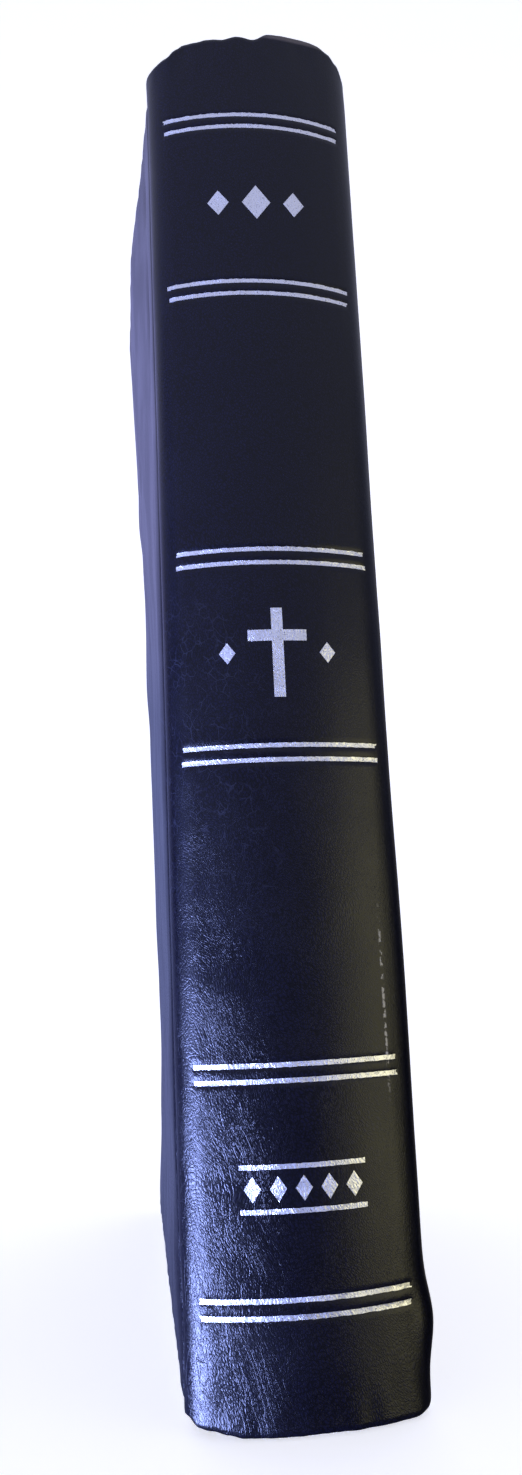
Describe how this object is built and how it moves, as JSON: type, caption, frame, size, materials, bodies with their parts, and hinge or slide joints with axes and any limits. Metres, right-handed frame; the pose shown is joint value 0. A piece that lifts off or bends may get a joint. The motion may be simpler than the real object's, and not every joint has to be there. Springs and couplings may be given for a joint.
{
  "type": "flexible-cover bible",
  "caption": "Thread-sewn bible with a rounded spine, limp black leather covers and silver foil rules, standing closed; covers and page halves open.",
  "frame": {"origin": "middle of the tail of the closed book, on the surface that it stands on", "axes": "+Z from tail to head, -Y out of the spine, +X out of the front cover"},
  "size_m": [0.0336, 0.1434, 0.21],
  "materials": {
    "cover_leather": "fine pebble grain, satin, black with a navy cast",
    "inlay_card": "smooth thin card",
    "lining_paper": "kraft lining paper",
    "gauze": "open-weave binding gauze",
    "thread": "white sewing thread",
    "band_cloth": "striped woven head band",
    "silver_foil": "hot-stamped silver foil, slightly grainy",
    "board": "thin flexible board",
    "endpaper": "uncoated black endpaper",
    "page_paper": "thin opaque bible paper with silvered edges",
    "ribbon": "satin ribbon"
  },
  "bodies": {
    "spine": {"spine_leather": "cover_leather", "spine_inlay": "inlay_card", "spine_lining": "lining_paper", "spine_gauze": "gauze", "sewing_threads": "thread", "headband": "band_cloth", "tailband": "band_cloth", "foil_double_rules": "silver_foil", "foil_short_rules": "silver_foil", "foil_cross": "silver_foil", "foil_lozenges": "silver_foil"},
    "front_block": {"signature_01": "page_paper", "signature_02": "page_paper", "signature_03": "page_paper", "signature_04": "page_paper", "signature_05": "page_paper", "signature_06": "page_paper", "signature_07": "page_paper", "signature_08": "page_paper", "signature_09": "page_paper", "signature_10": "page_paper", "signature_11": "page_paper", "signature_12": "page_paper", "front_endpaper_strip": "endpaper", "front_joint_leather": "cover_leather"},
    "back_block": {"signature_13": "page_paper", "signature_14": "page_paper", "signature_15": "page_paper", "signature_16": "page_paper", "signature_17": "page_paper", "signature_18": "page_paper", "signature_19": "page_paper", "signature_20": "page_paper", "signature_21": "page_paper", "signature_22": "page_paper", "signature_23": "page_paper", "signature_24": "page_paper", "back_endpaper_strip": "endpaper", "back_joint_leather": "cover_leather", "ribbon_marker": "ribbon"},
    "front_cover": {"front_cover_leather": "cover_leather", "front_board": "board", "front_pastedown": "endpaper"},
    "front_flyleaf": {"front_flyleaf": "endpaper"},
    "back_cover": {"back_cover_leather": "cover_leather", "back_board": "board", "back_pastedown": "endpaper"},
    "back_flyleaf": {"back_flyleaf": "endpaper"}
  },
  "joints": [
    {"name": "front_block_turn", "type": "hinge", "parent": "spine", "child": "front_block", "pos_m": [0.0153, -0.0683, 0.105], "axis": [0, 0, -1], "range_deg": [0, 90]},
    {"name": "front_cover_open", "type": "hinge", "parent": "front_block", "child": "front_cover", "pos_m": [0.01611, -0.06103, 0.105], "axis": [0, 0, -1], "range_deg": [0, 95]},
    {"name": "front_flyleaf_lift", "type": "hinge", "parent": "front_block", "child": "front_flyleaf", "pos_m": [0.01404, -0.06023, 0.105], "axis": [0, 0, -1], "range_deg": [0, 47.5]},
    {"name": "back_block_turn", "type": "hinge", "parent": "spine", "child": "back_block", "pos_m": [-0.0153, -0.0683, 0.105], "axis": [0, 0, 1], "range_deg": [0, 90]},
    {"name": "back_cover_open", "type": "hinge", "parent": "back_block", "child": "back_cover", "pos_m": [-0.01611, -0.06103, 0.105], "axis": [0, 0, 1], "range_deg": [0, 95]},
    {"name": "back_flyleaf_lift", "type": "hinge", "parent": "back_block", "child": "back_flyleaf", "pos_m": [-0.01404, -0.06023, 0.105], "axis": [0, 0, 1], "range_deg": [0, 47.5]}
  ],
  "couplings": [
    {"joint": "front_flyleaf_lift", "follows": "front_cover_open", "ratio": 0.5},
    {"joint": "back_flyleaf_lift", "follows": "back_cover_open", "ratio": 0.5}
  ]
}
